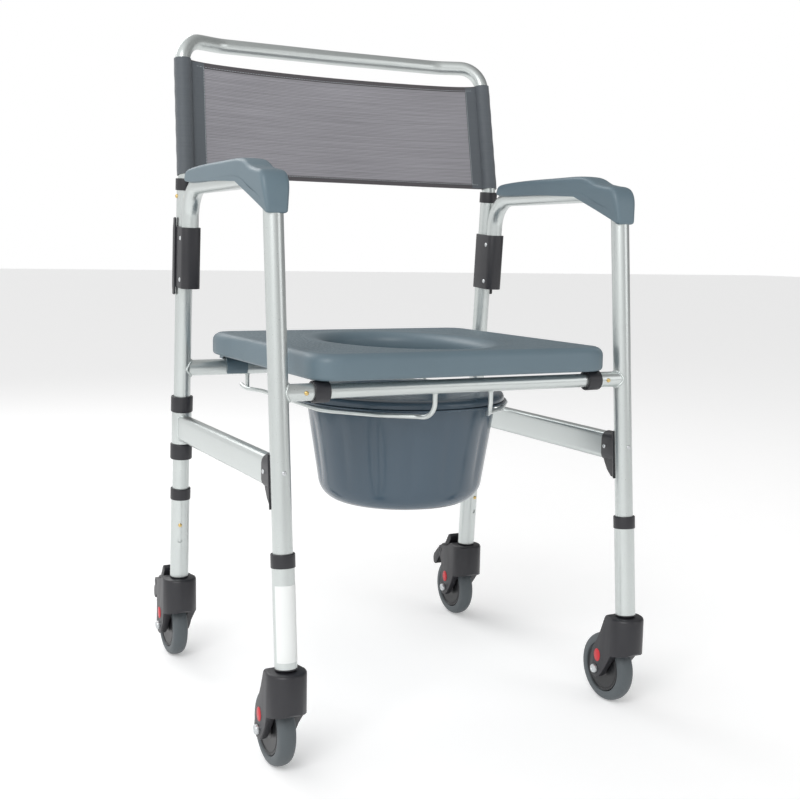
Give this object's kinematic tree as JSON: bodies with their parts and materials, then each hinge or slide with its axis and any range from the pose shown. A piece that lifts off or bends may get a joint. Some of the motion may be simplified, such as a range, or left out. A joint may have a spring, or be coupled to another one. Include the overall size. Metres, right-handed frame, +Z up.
{
  "type": "wheeled commode chair",
  "caption": "Tubular aluminium commode chair with padded seat and arms, cloth backrest, lidded pan on rails, telescopic legs and swivel casters, the rear ones braked.",
  "frame": {"origin": "on the floor, under the middle of the whole chair", "axes": "+X to the right as seen from the front, +Y to the rear, +Z up"},
  "size_m": [0.584, 0.571, 0.9747],
  "materials": {
    "aluminium_tube": "satin anodised",
    "black_plastic": "satin",
    "pad": "soft integral-skin foam, pebbled on top",
    "pan_plastic": "gloss",
    "sling_cloth": "woven mesh",
    "tyre": "satin",
    "hub_plastic": "satin",
    "zinc": "zinc plated",
    "brass": "worn",
    "pedal_plastic": "satin"
  },
  "bodies": {
    "frame": {"rear_frame": "aluminium_tube", "front_bar": "aluminium_tube", "post_collar_left": "black_plastic", "post_collar_right": "black_plastic", "hinge_collar_upper_left": "black_plastic", "hinge_collar_lower_left": "black_plastic", "hinge_collar_upper_right": "black_plastic", "hinge_collar_lower_right": "black_plastic"},
    "side_left": {"side_tube_left": "aluminium_tube", "bar_collar_left": "black_plastic", "side_brace_left": "aluminium_tube", "brace_saddle_left": "black_plastic", "arm_bracket_left": "black_plastic", "arm_pad_left": "pad"},
    "bar_button_left": {"bar_button_left": "brass"},
    "back_button_left": {"back_button_left": "brass"},
    "leg_front_left": {"lower_leg_front_left": "aluminium_tube", "leg_collar_front_left": "black_plastic"},
    "leg_button_front_left": {"leg_button_front_left": "brass"},
    "caster_front_left": {"caster_hood_front_left": "black_plastic", "caster_axle_front_left": "zinc"},
    "wheel_front_left": {"caster_tyre_front_left": "tyre", "caster_hub_front_left": "hub_plastic"},
    "leg_rear_left": {"lower_leg_rear_left": "aluminium_tube", "leg_collar_rear_left": "black_plastic"},
    "leg_button_rear_left": {"leg_button_rear_left": "brass"},
    "caster_rear_left": {"caster_hood_rear_left": "black_plastic", "caster_axle_rear_left": "zinc"},
    "wheel_rear_left": {"caster_tyre_rear_left": "tyre", "caster_hub_rear_left": "hub_plastic"},
    "pedal_left": {"brake_pedal_rear_left": "pedal_plastic"},
    "side_right": {"side_tube_right": "aluminium_tube", "bar_collar_right": "black_plastic", "side_brace_right": "aluminium_tube", "brace_saddle_right": "black_plastic", "arm_bracket_right": "black_plastic", "arm_pad_right": "pad"},
    "bar_button_right": {"bar_button_right": "brass"},
    "back_button_right": {"back_button_right": "brass"},
    "leg_front_right": {"lower_leg_front_right": "aluminium_tube", "leg_collar_front_right": "black_plastic"},
    "leg_button_front_right": {"leg_button_front_right": "brass"},
    "caster_front_right": {"caster_hood_front_right": "black_plastic", "caster_axle_front_right": "zinc"},
    "wheel_front_right": {"caster_tyre_front_right": "tyre", "caster_hub_front_right": "hub_plastic"},
    "leg_rear_right": {"lower_leg_rear_right": "aluminium_tube", "leg_collar_rear_right": "black_plastic"},
    "leg_button_rear_right": {"leg_button_rear_right": "brass"},
    "caster_rear_right": {"caster_hood_rear_right": "black_plastic", "caster_axle_rear_right": "zinc"},
    "wheel_rear_right": {"caster_tyre_rear_right": "tyre", "caster_hub_rear_right": "hub_plastic"},
    "pedal_right": {"brake_pedal_rear_right": "pedal_plastic"},
    "backrest": {"backrest_tube": "aluminium_tube", "back_sling": "sling_cloth"},
    "seat": {"seat_pad": "pad"},
    "pan": {"pan": "pan_plastic"},
    "pan_lid": {"pan_lid": "pan_plastic"}
  },
  "joints": [
    {"name": "side_left_swing", "type": "hinge", "parent": "frame", "child": "side_left", "pos_m": [-0.264, 0.17909, 0.3795], "axis": [0, 0.0724, -0.9974], "range_deg": [0, 90]},
    {"name": "bar_button_left_press", "type": "slide", "parent": "side_left", "child": "bar_button_left", "axis": [0, 1, 0], "range_m": [0, 0.0022], "stiffness_N_per_m": 400, "springref_m": -0.001},
    {"name": "back_button_left_press", "type": "slide", "parent": "frame", "child": "back_button_left", "axis": [1, 0, 0], "range_m": [0, 0.0022], "stiffness_N_per_m": 400, "springref_m": -0.001},
    {"name": "leg_front_left_height", "type": "slide", "parent": "side_left", "child": "leg_front_left", "axis": [0, 0.0896, 0.996], "range_m": [0, 0.0254]},
    {"name": "leg_button_front_left_press", "type": "slide", "parent": "leg_front_left", "child": "leg_button_front_left", "axis": [0, -0.996, 0.0896], "range_m": [0, 0.0022], "stiffness_N_per_m": 400, "springref_m": -0.001},
    {"name": "caster_front_left_swivel", "type": "hinge", "parent": "leg_front_left", "child": "caster_front_left", "pos_m": [-0.264, -0.259, 0.1365], "axis": [0, 0, 1], "continuous": true},
    {"name": "wheel_front_left_roll", "type": "hinge", "parent": "caster_front_left", "child": "wheel_front_left", "pos_m": [-0.264, -0.223, 0.05], "axis": [1, 0, 0], "continuous": true},
    {"name": "leg_rear_left_height", "type": "slide", "parent": "frame", "child": "leg_rear_left", "axis": [0, -0.0724, 0.9974], "range_m": [0, 0.0254]},
    {"name": "leg_button_rear_left_press", "type": "slide", "parent": "leg_rear_left", "child": "leg_button_rear_left", "axis": [0.2756, 0.9587, 0.0696], "range_m": [0, 0.0022], "stiffness_N_per_m": 400, "springref_m": -0.001},
    {"name": "caster_rear_left_swivel", "type": "hinge", "parent": "leg_rear_left", "child": "caster_rear_left", "pos_m": [-0.264, 0.1965, 0.1365], "axis": [0, 0, 1], "continuous": true},
    {"name": "wheel_rear_left_roll", "type": "hinge", "parent": "caster_rear_left", "child": "wheel_rear_left", "pos_m": [-0.264, 0.2325, 0.05], "axis": [1, 0, 0], "continuous": true},
    {"name": "brake_left_press", "type": "hinge", "parent": "caster_rear_left", "child": "pedal_left", "pos_m": [-0.264, 0.2465, 0.117], "axis": [-1, 0, 0], "range_deg": [0, 6]},
    {"name": "side_right_swing", "type": "hinge", "parent": "frame", "child": "side_right", "pos_m": [0.264, 0.17909, 0.3795], "axis": [0, -0.0724, 0.9974], "range_deg": [0, 90]},
    {"name": "bar_button_right_press", "type": "slide", "parent": "side_right", "child": "bar_button_right", "axis": [0, 1, 0], "range_m": [0, 0.0022], "stiffness_N_per_m": 400, "springref_m": -0.001},
    {"name": "back_button_right_press", "type": "slide", "parent": "frame", "child": "back_button_right", "axis": [-1, 0, 0], "range_m": [0, 0.0022], "stiffness_N_per_m": 400, "springref_m": -0.001},
    {"name": "leg_front_right_height", "type": "slide", "parent": "side_right", "child": "leg_front_right", "axis": [0, 0.0896, 0.996], "range_m": [0, 0.0254]},
    {"name": "leg_button_front_right_press", "type": "slide", "parent": "leg_front_right", "child": "leg_button_front_right", "axis": [0, -0.996, 0.0896], "range_m": [0, 0.0022], "stiffness_N_per_m": 400, "springref_m": -0.001},
    {"name": "caster_front_right_swivel", "type": "hinge", "parent": "leg_front_right", "child": "caster_front_right", "pos_m": [0.264, -0.259, 0.1365], "axis": [0, 0, 1], "continuous": true},
    {"name": "wheel_front_right_roll", "type": "hinge", "parent": "caster_front_right", "child": "wheel_front_right", "pos_m": [0.264, -0.223, 0.05], "axis": [1, 0, 0], "continuous": true},
    {"name": "leg_rear_right_height", "type": "slide", "parent": "frame", "child": "leg_rear_right", "axis": [0, -0.0724, 0.9974], "range_m": [0, 0.0254]},
    {"name": "leg_button_rear_right_press", "type": "slide", "parent": "leg_rear_right", "child": "leg_button_rear_right", "axis": [-0.2756, 0.9587, 0.0696], "range_m": [0, 0.0022], "stiffness_N_per_m": 400, "springref_m": -0.001},
    {"name": "caster_rear_right_swivel", "type": "hinge", "parent": "leg_rear_right", "child": "caster_rear_right", "pos_m": [0.264, 0.1965, 0.1365], "axis": [0, 0, 1], "continuous": true},
    {"name": "wheel_rear_right_roll", "type": "hinge", "parent": "caster_rear_right", "child": "wheel_rear_right", "pos_m": [0.264, 0.2325, 0.05], "axis": [1, 0, 0], "continuous": true},
    {"name": "brake_right_press", "type": "hinge", "parent": "caster_rear_right", "child": "pedal_right", "pos_m": [0.264, 0.2465, 0.117], "axis": [-1, 0, 0], "range_deg": [0, 6]},
    {"name": "backrest_lift", "type": "slide", "parent": "frame", "child": "backrest", "axis": [0, -0.0724, 0.9974], "range_m": [0, 0.12]},
    {"name": "seat_flip", "type": "hinge", "parent": "frame", "child": "seat", "pos_m": [0, 0.17237, 0.472], "axis": [-1, 0, 0], "range_deg": [0, 70]},
    {"name": "pan_slide", "type": "slide", "parent": "frame", "child": "pan", "axis": [0, 1, 0], "range_m": [0, 0.42]},
    {"name": "pan_lid_lift", "type": "slide", "parent": "pan", "child": "pan_lid", "axis": [0, 0, 1], "range_m": [0, 0.03]}
  ]
}
